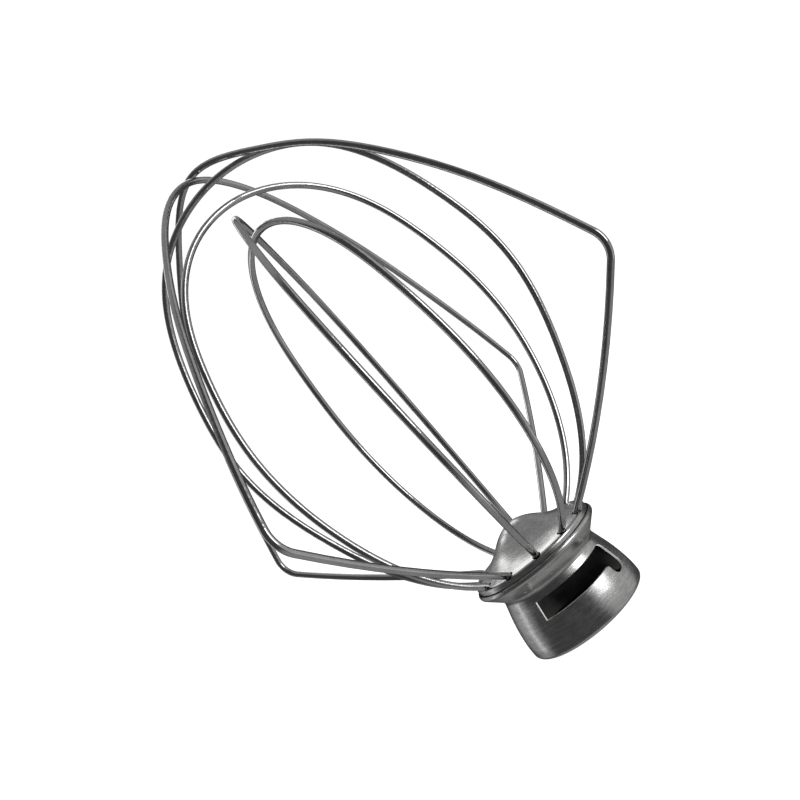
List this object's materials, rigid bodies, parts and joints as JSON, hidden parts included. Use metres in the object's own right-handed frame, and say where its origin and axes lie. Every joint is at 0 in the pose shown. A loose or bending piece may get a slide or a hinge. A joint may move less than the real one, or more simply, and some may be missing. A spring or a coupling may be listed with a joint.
{
  "type": "stand mixer wire whip",
  "caption": "Balloon wire whip for a stand mixer: crossed steel wire loops fanning out of a stamped hub that pushes onto the drive shaft and locks on its cross pin.",
  "frame": {"origin": "centre of the hub's open mouth, on the whip's axis, at the object's lowest plane", "axes": "+Z runs along the whip's axis from the mouth to the tip of the wires; +X lies in the first outer loop's plane and passes near the end of the hub's window where the cross pin enters; +Y completes a right-handed frame"},
  "size_m": [0.1412, 0.1449, 0.1596],
  "materials": {
    "hub_steel": "satin, fine turned lines",
    "cup_steel": "drawn, dull",
    "wire_steel": "polished spring wire"
  },
  "bodies": {
    "root": {"collar": "hub_steel", "cap": "hub_steel", "shaft_cup": "cup_steel", "outer_wire_a": "wire_steel", "outer_wire_b": "wire_steel", "middle_wire_a": "wire_steel", "middle_wire_b": "wire_steel", "inner_wire_a": "wire_steel", "inner_wire_b": "wire_steel"}
  },
  "joints": []
}
